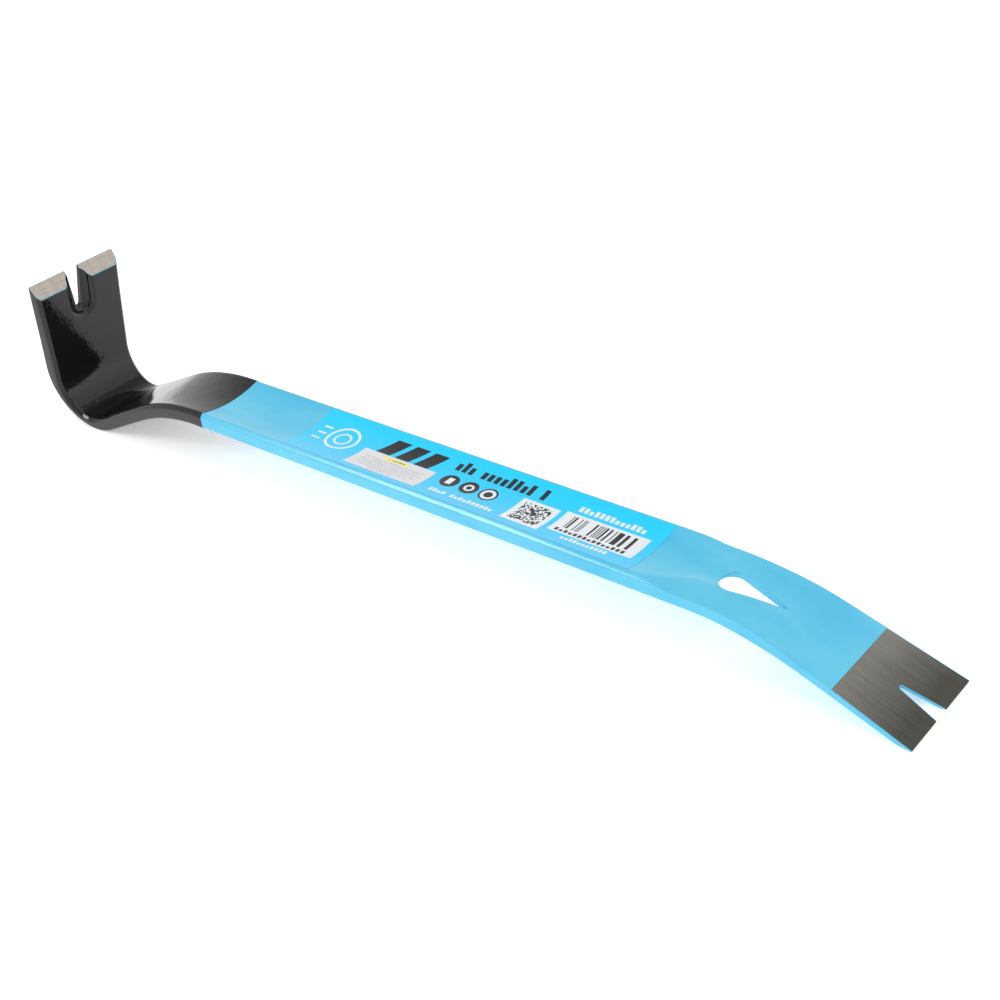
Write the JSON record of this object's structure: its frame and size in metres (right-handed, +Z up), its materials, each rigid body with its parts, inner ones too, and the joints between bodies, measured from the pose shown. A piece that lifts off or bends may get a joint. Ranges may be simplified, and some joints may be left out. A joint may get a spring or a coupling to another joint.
{
  "type": "pry bar",
  "caption": "Flat one-piece steel pry bar with a notched right-angle hook, a troughed shank, a teardrop nail slot and a notched, gently bent claw.",
  "frame": {"origin": "centre of the footprint on the surface that the bar lies on, under the middle of its length and width", "axes": "+X along the bar from the hook to the claw, +Y across the bar, +Z up, the way the hook's edge points"},
  "size_m": [0.3898, 0.0426, 0.0627],
  "materials": {
    "ground_steel": "ground bare steel with fine lengthwise scratches",
    "blue_enamel": "smooth glossy light blue enamel, sprayed",
    "black_lacquer": "dipped high-gloss black lacquer with slight orange peel",
    "label_film": "printed glossy film, bright blue",
    "sticker_paper": "plain coated white paper"
  },
  "bodies": {
    "root": {"forged_bar": "ground_steel", "enamel_coat": "blue_enamel", "lacquer_coat": "black_lacquer", "shank_label": "label_film", "notice_sticker": "sticker_paper"}
  },
  "joints": []
}
